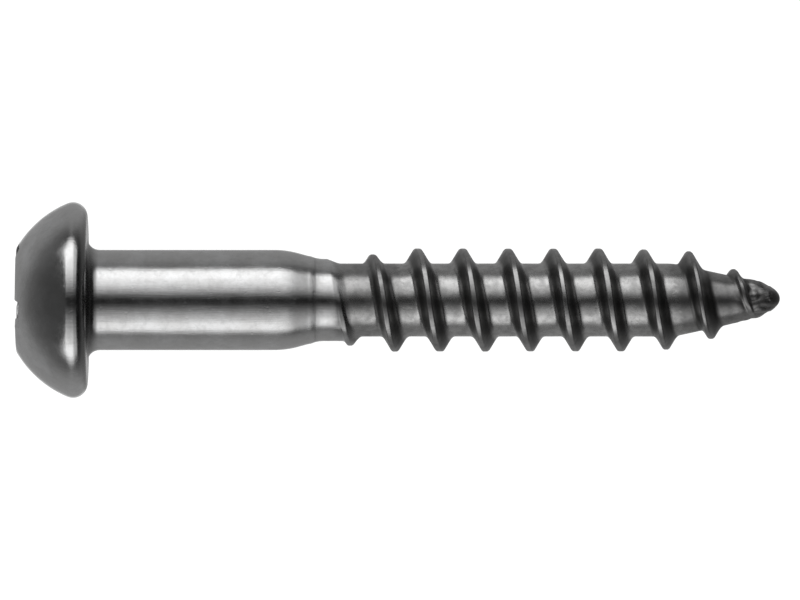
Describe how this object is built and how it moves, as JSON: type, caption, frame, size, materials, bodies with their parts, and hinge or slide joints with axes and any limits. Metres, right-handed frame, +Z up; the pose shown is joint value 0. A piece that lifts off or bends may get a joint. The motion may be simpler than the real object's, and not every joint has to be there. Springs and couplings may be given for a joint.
{
  "type": "wood screw",
  "caption": "Round-head wood screw with a cross recess, a plain shank, a coarse right-hand thread and a blunt gimlet point, for fixing things to timber.",
  "frame": {"origin": "on the screw's axis, in the plane of the head's flat underside", "axes": "+X along the axis from the head to the point, the way the screw is driven; +Z up, with one wing of the recess 16 degrees below -Y"},
  "size_m": [0.038, 0.0098, 0.0098],
  "materials": {
    "bright_steel": "bright zinc-plated steel, smooth on the shank, satin on the head and in the thread"
  },
  "bodies": {
    "root": {"wood_screw": "bright_steel"}
  },
  "joints": []
}
